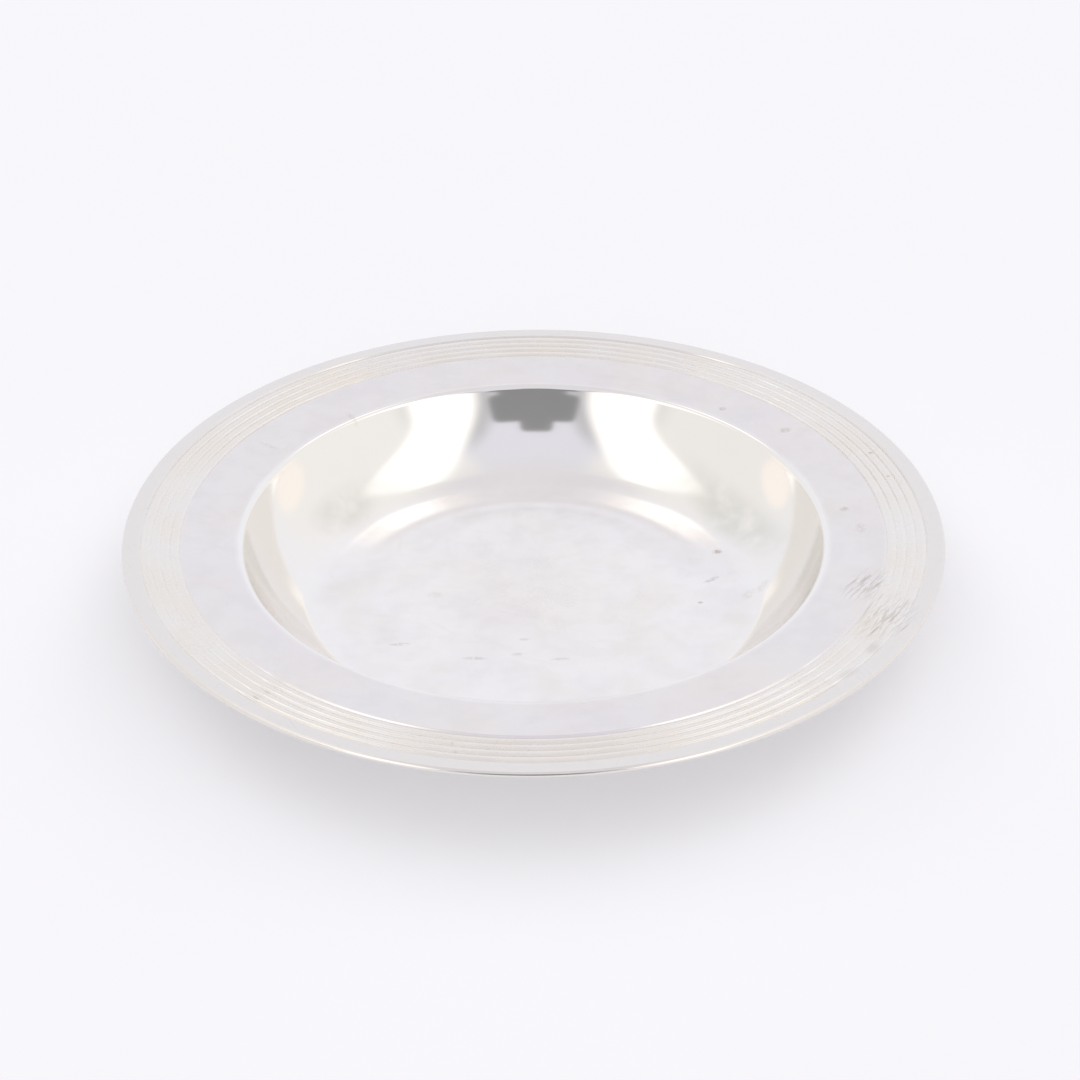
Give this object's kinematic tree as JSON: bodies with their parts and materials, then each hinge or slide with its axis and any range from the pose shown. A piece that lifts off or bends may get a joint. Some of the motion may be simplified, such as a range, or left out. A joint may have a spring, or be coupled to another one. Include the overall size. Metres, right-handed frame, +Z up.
{
  "type": "porridge plate",
  "caption": "Round silver porridge plate with a deep flat-floored well, a broad plain rim and a reeded border inside its rounded lip.",
  "frame": {"origin": "centre of the flat base, on the surface that the plate stands on", "axes": "+Z up along the plate's axis, +X to the right and +Y away from the viewer in the picture"},
  "size_m": [0.18, 0.18, 0.0199],
  "materials": {
    "spun_silver": "polished, scuffed on the floor",
    "drawn_silver_reeds": "polished, worn on the reeds",
    "drawn_silver_wire": "polished"
  },
  "bodies": {
    "root": {"plate_body": "spun_silver", "reeded_border": "drawn_silver_reeds", "edge_wire": "drawn_silver_wire"}
  },
  "joints": []
}
